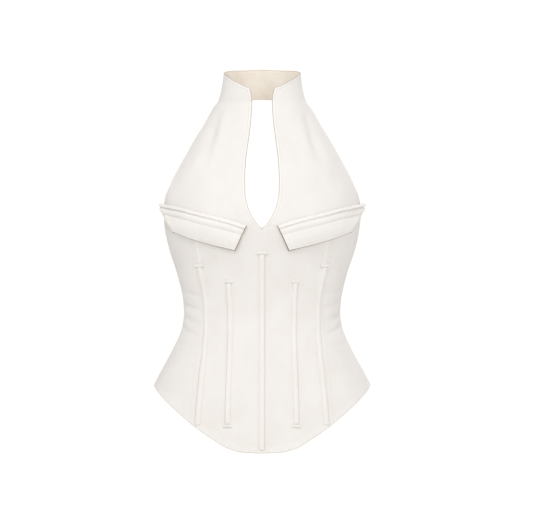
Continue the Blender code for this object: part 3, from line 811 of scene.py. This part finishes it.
FACED_DENIM = 2.0
COLLAR_RIM = FACED_DENIM / 2
COLLAR_ROUND, COLLAR_COLUMNS, COLLAR_ROWS = 400.0, 150, 10
COLLAR_FRONT_ANGLE = 15.0
COLLAR_TOP = (
    (14, 17.5), (18, 18.5), (31, 24.6), (46, 31.3), (69, 40.9), (90, 46.0), (120, 51.5), (180, 55.8),
)
COLLAR_FRONT = ((-8, 13.3), (3, 14.1), (10, 15.6), (20, 18.6))
collar_top_at = smooth_curve(COLLAR_TOP)
collar_front_at = smooth_curve(COLLAR_FRONT)
# The collar's inside: the cloth's wrong side, painted darker and warmer for the shade inside the ring
collar_inside_painted_shade = weave_cloth(
    "collar_inside_painted_shade", (0.620, 0.500, 0.370), (0.950, 0.905, 0.835), wale_share=0.5, blotch=0.9,
)


def cut_collar():
    """The angles and heights of the collar's mesh, all round from one front edge to the other."""
    across = spread(COLLAR_ROUND, COLLAR_COLUMNS)
    start = collar_front_at(0.0)
    angle = start + (360 - 2 * start) * across
    for _ in range(FITTING_ROUNDS):
        from_front = np.minimum(angle, 360 - angle)
        low, high = collar_foot_at(from_front) + PRESSED_SEAM, collar_top_at(from_front) - COLLAR_RIM
        height = low + (high - low) * spread(high - low, COLLAR_ROWS).T
        start = collar_front_at(height)
        angle = (start + (360 - start - start) * across).mean(axis=0)
    inset = np.degrees(COLLAR_RIM / plain_radius(COLLAR_FRONT_ANGLE, height))
    start, end = start + inset, 360 - start - inset
    return start + (end - start) * across, height


face = dress("collar", 1, *cut_collar(), (
    (np.s_[:, 0], turned_edge, EDGE_SHADOW),
    (np.s_[:, -1], turned_edge, EDGE_SHADOW),
    (np.s_[-1], turned_edge, EDGE_SHADOW),
    (np.s_[0], seam_plain, 0),
), FACED_DENIM, "faced_denim", (denim_face, collar_inside_painted_shade))
inner = -1 - STITCH_STEP
row = np.concatenate((face[2:inner, STITCH_STEP], face[inner, STITCH_STEP:inner], face[inner:1:-1, inner]))
topstitch("topstitch_collar", [stitches_on(row)])

# The corset body
# Six panels of the same twill, seamed at centre front, over the bust points and at the sides, and
# drawn close to the body. Their hem is faced, the back's top is turned, and a zip parts the backs.

HEM = (
    (0, -533.5), (12, -532.5), (22, -527.0), (32, -513.5), (42, -497.5), (52, -479.0), (62, -461.5),
    (72, -448.0), (82, -440.0), (92, -437.0), (120, -446.0), (150, -462.0), (180, -470.0),
)
PRINCESS_SEAM = (
    (-178, 46.0), (-219, 48.5), (-254, 51.4), (-305, 52.5), (-351, 51.6),
    (-381, 49.4), (-414, 46.3), (-455, 43.5), (-500, 42.0),
)
ZIP_OPENING = 10.0
PUCKER_SHIFT = 3.0
hem_at = smooth_curve(HEM)
princess_at = smooth_curve(PRINCESS_SEAM)


def upright(angle):
    """A straight edge at one angle."""
    return lambda height: angle + 0.0 * height


centre_front, side_seam, centre_back = upright(0.0), upright(93.0), upright(180.0)
faced_hem = edge_finish((0.15, 6.5, 9.5), NO_LINE, (0.16, 11.0, 0.4, 2.5, 4.0))


def back_top(away, along):
    """The turned top edge of the back, with its puckers shifted along."""
    return turned_edge(away, along + PUCKER_SHIFT)


zip_edge = beside(centre_back, -ZIP_OPENING / 2 - RIM)
PANELS = (
    # name, near edge, far edge, finish of each
    ("front", beside(centre_front, INTO_SEAM), beside(princess_at, -INTO_SEAM), seam_plain, seam_high),
    ("side", beside(princess_at, INTO_SEAM), beside(side_seam, -INTO_SEAM), seam_low, seam_low),
    ("back", beside(side_seam, INTO_SEAM), zip_edge, seam_high, turned_edge),
)
rows = []
for word, side in SIDES:
    for name, near, far, near_finish, far_finish in PANELS:
        angle, height = cut_panel(near, far, raised(hem_at, RIM), raised(bust_seam_at, -PRESSED_SEAM))
        arm = int(np.searchsorted(angle[-1], ARMHOLE_FOOT_ANGLE))
        edges = [(np.s_[:, 0], near_finish, 0), (np.s_[:, -1], far_finish, 0), (0, faced_hem, FAINT_EDGE_SHADOW)]
        if arm > 1:
            edges.append((np.s_[-1, :arm], seam_plain, 0))
        if arm < angle.shape[1] - 1:
            edges.append((np.s_[-1, arm:], back_top, FAINT_EDGE_SHADOW))
            rows.append(stitches_on(form(side * angle, height)[-1 - STITCH_STEP, arm:]))
        face = dress(f"{name}_{word}", side, angle, height, edges)
        if name == "side":
            rows.append(stitches_on(face[2:, SECOND_STEP]))
        if name == "back":
            rows.append(stitches_on(face[2:, STITCH_STEP]))
            rows.append(stitches_on(face[2:, -1 - STITCH_STEP]))
topstitch("topstitch_body", rows)

# The bust flaps
# Two slanted flaps of doubled twill. Two rows of stitches sew each down along its top, which stands up
# as a soft lip. The other three edges are turned and double stitched, and the foot hangs free.

REST_GAP = 0.5
FLAP_TOP = ((11.5, -194.0), (25.0, -184.0), (39.0, -175.5), (57.0, -165.5), (80.0, -158.5))
FLAP_FOOT = ((20.8, -229.5), (35.0, -221.5), (48.0, -213.0), (64.0, -201.5))
FLAP_LIFTS = (
    # share of the way up, how far it stands off the bust
    (0.00, 0.6), (0.12, 1.3), (0.30, 1.8), (0.50, 1.0), (0.63, 0.2), (0.75, 1.2), (0.865, 0.1),
    (0.886, 0.2), (0.893, 0.9), (0.905, 2.3), (0.925, 2.6), (0.95, 2.3), (0.975, 1.4), (1.00, 0.2),
)
SEWN_ROWS = (0.63, 0.875)
LIP_ROWS = (0.878, 0.886, 0.904, 0.912)
FLAP_CORNER_SHARE, FLAP_CORNER_LIFT = 0.84, 4.2
FLAP_WIDTH, FLAP_HEIGHT, FLAP_CELL = 130.0, 40.0, 1.5
# The flap's free edges get a deeper painted shadow line, for the shadow under its hanging foot
FLAP_EDGE_SHADOW = 5.1
LIP_FOOT, GROOVE_WIDTH, GROOVE_WAVE = 0.88, 0.05, 0.022
LIP_WAVE, LIP_BEND, LIP_START = 0.55, 0.5, (0.87, 0.92)
CORNER_POWER, CORNER_BEND = 1.4, (0.15, 0.85)
KEYHOLE_PART, TURNED_END = (0.15, 0.8), (0.80, 0.86)
CORNER_FLATTENS, INNER_FLATTENS, INNER_FILLS = 0.45, 0.35, 0.6
TURNED_STEPS, TURNED_STOP = (3, 6), 0.84
SEWN_PUCKER, SEWN_WIDTH, SEWN_DEPTH, SEWN_DEEPER = 0.16, 0.9, 0.3, 0.7
flap_top_at, flap_foot_at, flap_lift_at = (smooth_curve(rows) for rows in (FLAP_TOP, FLAP_FOOT, FLAP_LIFTS))
doubled_denim = weave_cloth("doubled_white_denim", (0.720, 0.660, 0.600), (0.970, 0.957, 0.940))
# The flap's back and inner rim strips: a dark tan that paints the shadow line under the flap's free edges
flap_shadow_facing = weave_cloth("flap_shadow_facing", (0.560, 0.470, 0.380), (0.840, 0.770, 0.690), wale_share=0.5)
raw_yarn = spin_thread("raw_white_yarn", (0.860, 0.840, 0.800), (0.975, 0.965, 0.945))
FRAYED_ENDS, FRAY_RADIUS, FRAY_LENGTH = 150, 0.2, 2.2
FRAY_LEAN, FRAY_ROOT, FRAY_SPAN, FRAY_DEPTHS = 1.6, 0.965, (0.005, 0.985), (0.2, 1.05)
double_stitched = edge_finish((0.4, 6.5, 8.5), (-0.6, 0.8, TURNED_STEPS), (0.16, 6.0, 0.0, 4.0, 3.0))
FLAP_EDGES = [(line, double_stitched, FLAP_EDGE_SHADOW) for line in (np.s_[:, 0], np.s_[:, -1], np.s_[0])]


def from_keyhole(across):
    """0 on a flap's inner part and 1 on its outer part."""
    return fade(across, *KEYHOLE_PART)


def flap_place(side, across, up):
    """The angle, height and lift of a place on a flap, from its inner corner and its foot."""
    foot_angle = FLAP_FOOT[0][0] + (FLAP_FOOT[-1][0] - FLAP_FOOT[0][0]) * across
    top_angle = FLAP_TOP[0][0] + (FLAP_TOP[-1][0] - FLAP_TOP[0][0]) * across
    low, high = flap_foot_at(foot_angle), flap_top_at(top_angle)
    run = FLAP_WIDTH * across
    lip = fade(up, LIP_FOOT, 1.0)
    high = high + LIP_WAVE * lip * ripple(run, 7.0, 0.7 + side)
    bend = np.clip((across - FLAP_CORNER_SHARE) / (1 - FLAP_CORNER_SHARE), 0, 1)
    inner = 1 - from_keyhole(across)
    groove = hump(up - LIP_FOOT, GROOVE_WIDTH)
    up = up + GROOVE_WAVE * groove * ripple(run, 9.0, side)
    flatter = (CORNER_FLATTENS * bend + INNER_FLATTENS * inner) * fade(up, *LIP_START)
    lift = REST_GAP + flap_lift_at(up) * (1 - flatter) + INNER_FILLS * inner * groove
    lift = lift + FLAP_CORNER_LIFT * bend**CORNER_POWER * fade(up, *CORNER_BEND)
    lift = lift + LIP_BEND * lip * ripple(run, 6.0, 2.0 + side)
    return side * (foot_angle + (top_angle - foot_angle) * up), low + (high - low) * up, lift


for word, side in SIDES:
    across = spread(FLAP_WIDTH, math.ceil(FLAP_WIDTH / FLAP_CELL))
    up = spread(FLAP_HEIGHT, math.ceil(FLAP_HEIGHT / FLAP_CELL))
    up = np.sort(np.concatenate((up, LIP_ROWS)))[:, None]
    angle, height, lift = flap_place(side, across, up)
    bare = form(angle, height, lift)
    relief, edge_shadow = relief_of(bare, FLAP_EDGES)
    relief = relief * (1 - fade(up, *TURNED_END))
    run = FLAP_WIDTH * across
    for share in SEWN_ROWS:
        away = (up - share) * FLAP_HEIGHT
        pucker = SEWN_PUCKER * ripple(run, 6.5, share * 9) * hump(away, 2.6)
        depth = SEWN_DEPTH + SEWN_DEEPER * from_keyhole(across)
        relief = relief - depth * hump(away, SEWN_WIDTH) + pucker
    face = form(angle, height, lift + FACED_DENIM + relief)
    cut = weave_map(angle, height)
    finishes = doubled_denim, flap_shadow_facing
    flap = sew(f"cloth_flap_{word}", face, bare, cut, relief, edge_shadow, side, finishes)
    hang(flap, f"flap_{word}", face)
    rows = []
    stop = int(np.searchsorted(up[:, 0], TURNED_STOP))
    for step in TURNED_STEPS:
        last = -1 - step
        line = np.concatenate((face[stop:step:-1, step], face[step, step:last], face[step:stop, last]))
        rows.append(stitches_on(line))
    for share in SEWN_ROWS:
        rows.append(stitches_on(face[int(np.argmin(np.abs(up[:, 0] - share))), 1:-1]))
    topstitch(f"topstitch_flap_{word}", rows)
    chance = np.random.default_rng(20 + side)
    root = np.sort(chance.uniform(*FRAY_SPAN, FRAYED_ENDS))
    tip = np.clip(root + chance.uniform(-FRAY_LEAN, FRAY_LEAN, FRAYED_ENDS) / FLAP_WIDTH, 0, 1)
    reach = 1 + chance.uniform(0.2, 1.0, FRAYED_ENDS) * FRAY_LENGTH / FLAP_HEIGHT
    fray = []
    for across, up in ((root, np.full_like(root, FRAY_ROOT)), (tip, reach)):
        angle, height, lift = flap_place(side, across, up)
        fray.append(form(angle, height, lift + FACED_DENIM * chance.uniform(*FRAY_DEPTHS, FRAYED_ENDS)))
    topstitch(f"frayed_yarn_flap_{word}", [np.stack(fray, axis=1)], raw_yarn, FRAY_RADIUS)

# The bone channels
# Five strips of twill, each sewn down both sides over a thin steel bone that makes it a round ridge.
# A bar of satin stitches crosses each end that stops in the cloth, and the others run into the hem.

CHANNEL_CELL = 2.4
BAR_HEIGHT, BAR_STEP = 4.2, 0.6
BAR_ROWS = np.array((0, 0.6, 1.4, 2.8, BAR_HEIGHT, BAR_HEIGHT + BAR_STEP))
BAR_RISE, BAR_CROWN, SATIN_RISE, SATIN_CROWN, SATIN_OVER = 0.9, 0.35, 1.5, 0.7, 0.1
BONE_HEM_GAP = 6.0
INNER_BONE = (
    (-277, 28.9), (-292, 29.7), (-328, 29.9), (-373, 28.1), (-410, 26.0), (-454, 24.2), (-494, 23.2),
)
OUTER_BONE = (
    (-251, 50.9), (-262, 51.6), (-288, 51.7), (-328, 51.8), (-358, 49.9),
    (-396, 46.4), (-433, 43.6), (-485, 41.6), (-505, 41.4),
)
BAR_THREAD, BAR_PITCH = 0.42, 0.68
CHANNEL_RISE = (
    # share of the half width, height over the panel
    (0.0, 2.3), (0.35, 2.2), (0.6, 1.7), (0.72, 0.95), (0.8, 0.3), (0.9, 0.75), (1.0, 0.45),
)
CHANNEL_SHARES = (0.0, 0.2, 0.4, 0.52, 0.62, 0.7, 0.75, 0.8, 0.85, 0.9, 0.95, 1.0)
STITCH_SHARE, STITCH_GROOVE = 0.8, 0.12
UNDER_LIFT, STITCH_LIFT = 0.1, 0.3
LINE_INSET, LINE_POINTS = 1, 120
EDGE_WAVE, RIDGE_WAVE = 0.18, 0.1
INNER_FILL = 0.8
INNER_SHADE, OUTER_SHADE, RIDGE_SHEEN = 0.25, 1.15, 0.12
inner_bone_at, outer_bone_at = smooth_curve(INNER_BONE), smooth_curve(OUTER_BONE)
channel_rise_at = smooth_curve(CHANNEL_RISE)


def sew_channel(name, middle, side, width, bar, top, foot, bar_at_foot):
    """One bone channel with its rows of stitches and its bars."""
    rows = math.ceil((top - foot) / CHANNEL_CELL)
    height = np.concatenate((
        foot + BAR_ROWS,
        np.linspace(foot, top, rows)[4:-4],
        top - BAR_ROWS[::-1],
    ))[:, None]
    barred = fade(height, top - BAR_HEIGHT - BAR_STEP, top - BAR_HEIGHT)
    if bar_at_foot:
        barred = np.maximum(barred, 1 - fade(height, foot + BAR_HEIGHT, foot + BAR_HEIGHT + BAR_STEP))
    share = np.concatenate((-np.array(CHANNEL_SHARES[:0:-1]), CHANNEL_SHARES))
    half = (width + (bar - width) * barred) / 2
    run = np.cumsum(np.abs(np.gradient(height[:, 0])))[:, None]
    half = half + EDGE_WAVE * ripple(run, 9.0, side) * (1 - barred)
    angle = side * beside(middle, share * half)(height)
    inner, outer = (hump(share - groove, STITCH_GROOVE) for groove in (-STITCH_SHARE, STITCH_SHARE))
    wave = RIDGE_WAVE * ripple(run, 13.0, 2.0) * (1 - share**2)
    ridge = channel_rise_at(np.abs(share)) + INNER_FILL * inner + wave
    lift = ridge + (BAR_RISE + BAR_CROWN * (1 - share**2) - ridge) * barred
    face, back = form(angle, height, lift), form(angle, height, UNDER_LIFT)
    cut = weave_map(angle, height)
    relief = RIDGE_SHEEN - INNER_SHADE * inner - OUTER_SHADE * outer + 0 * angle
    channel = sew(f"cloth_{name}", face, back, cut, relief, 0 * relief, side, (denim_face, denim_inside_painted_shade))
    hang(channel, name, face)

    line = np.linspace(foot + LINE_INSET, top - BAR_HEIGHT - LINE_INSET, LINE_POINTS)
    stitched = []
    for edge in (-STITCH_SHARE, STITCH_SHARE):
        on_seam = side * beside(middle, edge * width / 2)(line)
        stitched.append(stitches_on(form(on_seam, line, STITCH_LIFT + INNER_FILL * (edge < 0))))
    topstitch(f"topstitch_{name}", stitched)
    satin = []
    for start in [top - BAR_HEIGHT] + [foot] * bar_at_foot:
        across = np.arange(-bar / 2, bar / 2 + 0.01, BAR_PITCH)
        rise = SATIN_RISE + SATIN_CROWN * (1 - (2 * across / bar) ** 2)
        ends = []
        for end in (start - SATIN_OVER, start + BAR_HEIGHT + SATIN_OVER):
            ends.append(form(side * beside(middle, across)(np.full_like(across, end)), end, rise))
        satin.append(np.stack(ends, axis=1))
    topstitch(f"bar_{name}", satin, raw_yarn, BAR_THREAD)


OUTER_FOOT = hem_at(PRINCESS_SEAM[-1][1]) + BONE_HEM_GAP
CHANNELS = (
    # name, middle line, sides, width of the strip and of its bars, top, foot, whether its foot is barred
    ("centre", centre_front, (("", 1),), 10.0, 17.0, -232.0, hem_at(0.0) + BONE_HEM_GAP, False),
    ("inner", inner_bone_at, SIDES, 9.0, 12.0, -275.0, -495.0, True),
    ("outer", outer_bone_at, SIDES, 9.4, 15.5, -251.0, OUTER_FOOT, False),
)
for name, middle, sides, *sizes in CHANNELS:
    for word, side in sides:
        sew_channel(f"bone_channel_{name}_{word}".rstrip("_"), middle, side, *sizes)

# The zip
# A nickel-plated metal zip at centre back: a cotton tape behind the turned edges of the backs, two rows
# of teeth that close in its middle, and a slider whose pull hangs down from its bridge.

TAPE_WIDTH, TAPE_CLOTH = 24.0, 0.8
TAPE_DEPTH = DENIM + 0.6 + TAPE_CLOTH
ZIP_TOP, ZIP_FOOT = -215.5, -467.5
SLIDER_HEIGHT = -224.0
TOOTH_PITCH, TOOTH_REACH = 1.5, 1.25
TEETH_DEPTH, TOOTH_HALF = 1.25, 0.5
ABOVE_FOOT, BELOW_SLIDER = 4, 5
TOOTH_SIZE = (3.4, 1.5, 1.25)
EDGING_PLACE, EDGING_WIDTH, EDGING_RISE = 3.6, 0.7, 0.18
tape_face = weave_cloth("zip_tape_weave", (0.72, 0.68, 0.61), (0.86, 0.83, 0.77), wale_share=0.8)

height = np.linspace(ZIP_FOOT, ZIP_TOP, 100)[:, None]
across = np.linspace(-TAPE_WIDTH / 2, TAPE_WIDTH / 2, 21)
angle = beside(centre_back, across)(height)
edging = EDGING_RISE * hump(np.abs(across) - EDGING_PLACE, EDGING_WIDTH) + 0 * height
face, back = form(angle, height, -TAPE_DEPTH + TAPE_CLOTH + edging), form(angle, height, -TAPE_DEPTH)
cut = weave_map(angle - 180, height)
tape = sew("cloth_zip_tape", face, back, cut, edging, 0 * edging, 1, (tape_face, tape_face))
hang(tape, "zip_tape", face)


def plate_metal(name):
    """Nickel plate: bright, finely brushed, and dulled in patches."""
    material = bpy.data.materials.new(name)
    tree = fresh_tree(material)
    place = tree.node("ShaderNodeTexCoord", {}, output="Object")
    brushed = tree.grain(place, 2600.0, stretch=(4.0, 4.0, 0.25))
    dull = tree.grain(place, 300.0, 4.0)
    shade = 0.3 + brushed * 0.4 + (dull - 0.5) * 0.8
    colour = tree.blend(shade.limited(), (0.48, 0.47, 0.45), (0.78, 0.77, 0.75))
    bump = tree.node("ShaderNodeBump", {}, {"Strength": 0.25, "Distance": 0.00005, "Height": brushed})
    rough = 0.24 + brushed * 0.12 + (dull - 0.5) * 0.2
    tree.surface({"Base Color": colour, "Roughness": rough, "Normal": bump, "Metallic": 1.0})
    return material


nickel = plate_metal("nickel_plate")


def tooth(tree, size, run):
    """A block with rounded edges."""
    block = tree.node("GeometryNodeMeshCube", {}, {"Size": size})
    creased = {"Mesh": block, "Level": 1, "Edge Crease": 0.65}
    return {"Instance": tree.node("GeometryNodeSubdivisionSurface", {}, creased)}


heights = np.arange(ZIP_FOOT + ABOVE_FOOT, SLIDER_HEIGHT - BELOW_SLIDER, TOOTH_PITCH)
lean = np.where(np.arange(len(heights)) % 2, TOOTH_REACH, -TOOTH_REACH)
ends = []
for end in (heights - TOOTH_HALF, heights + TOOTH_HALF):
    ends.append(form(beside(centre_back, lean)(end), end, -TEETH_DEPTH))
tooth_rows = edge_tree("zip_tooth_rows", "Tooth size", "NodeSocketVector", tooth)
inputs = {"Tooth size": tuple(size * MM for size in TOOTH_SIZE), "Finish": nickel}
teeth = grow("metal_zip_teeth", tooth_rows, np.stack(ends, axis=1), inputs)
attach(teeth, "top")
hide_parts("zip_teeth")

for node in ("zip_slider", "zip_pull"):
    metal_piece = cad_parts[node]
    metal_piece.data.materials.clear()
    metal_piece.data.materials.append(nickel)

# The studio
# A pale floor well below the hanging top, an even white room, and soft lights in front and above.

PHOTO_WIDTH, MM_PER_PIXEL = 533, 1.55
CAMERA_AWAY, CAMERA_RIGHT, CAMERA_HEIGHT = 3.0, 0.0067, -0.2457
SENSOR = 36.0
FLOOR_HEIGHT, FLOOR_RADIUS = -1.35, 2.6

scene = bpy.context.scene
lens = bpy.data.cameras.new("camera")
lens.sensor_width = SENSOR
lens.lens = SENSOR * CAMERA_AWAY / (PHOTO_WIDTH * MM_PER_PIXEL * MM)
lens.clip_end = 50
camera = bpy.data.objects.new("camera", lens)
camera.location = (CAMERA_RIGHT, -CAMERA_AWAY, CAMERA_HEIGHT)
camera.rotation_euler = (math.radians(90), 0, 0)
scene.collection.objects.link(camera)
scene.camera = camera
scene.view_settings.view_transform = "Standard"

world = bpy.data.worlds.new("studio")
scene.world = world
room = fresh_tree(world)
seen = room.node("ShaderNodeLightPath", output="Is Camera Ray")
strength = 0.57 + seen * 0.48
light = room.node("ShaderNodeBackground", {}, {"Color": (1.0, 0.988, 0.971, 1), "Strength": strength})
room.node("ShaderNodeOutputWorld", {}, {"Surface": light})

SOFT_LIGHTS = (
    # name, place, width, power
    ("key_light", (-0.4, -1.9, 1.7), 0.7, 18.5),
    ("fill_light", (0.5, -2.7, 0.1), 1.6, 15.0),
    ("left_light", (-2.4, -1.0, 0.4), 1.6, 9.8),
    ("right_light", (2.4, -1.0, 0.4), 1.6, 9.0),
    ("back_light", (0.6, 2.2, 1.4), 1.6, 30.0),
)
for name, place, width, power in SOFT_LIGHTS:
    lamp = bpy.data.lights.new(name, "AREA")
    lamp.size = width
    lamp.energy = power
    made = bpy.data.objects.new(name, lamp)
    made.location = place
    aim = Vector((0, 0, CAMERA_HEIGHT)) - made.location
    made.rotation_euler = aim.to_track_quat("-Z", "Y").to_euler()
    scene.collection.objects.link(made)

builder = bmesh.new()
bmesh.ops.create_circle(builder, cap_ends=True, segments=96, radius=FLOOR_RADIUS)
bmesh.ops.translate(builder, vec=(0, 0, FLOOR_HEIGHT), verts=builder.verts)
mesh = bpy.data.meshes.new("floor")
builder.to_mesh(mesh)
builder.free()
floor = bpy.data.objects.new("floor", mesh)
scene.collection.objects.link(floor)
paint = bpy.data.materials.new("pale_floor")
tree = fresh_tree(paint)
place = tree.node("ShaderNodeTexCoord", {}, output="Object")
colour = tree.blend(tree.grain(place, 3.0, 5.0), (0.80, 0.79, 0.77), (0.86, 0.85, 0.83))
tree.surface({"Base Color": colour, "Roughness": 0.9})
mesh.materials.append(paint)
floor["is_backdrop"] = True

sizes = {"cad": [list(corner) for corner in cad_box], "visual": [list(corner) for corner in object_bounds()]}
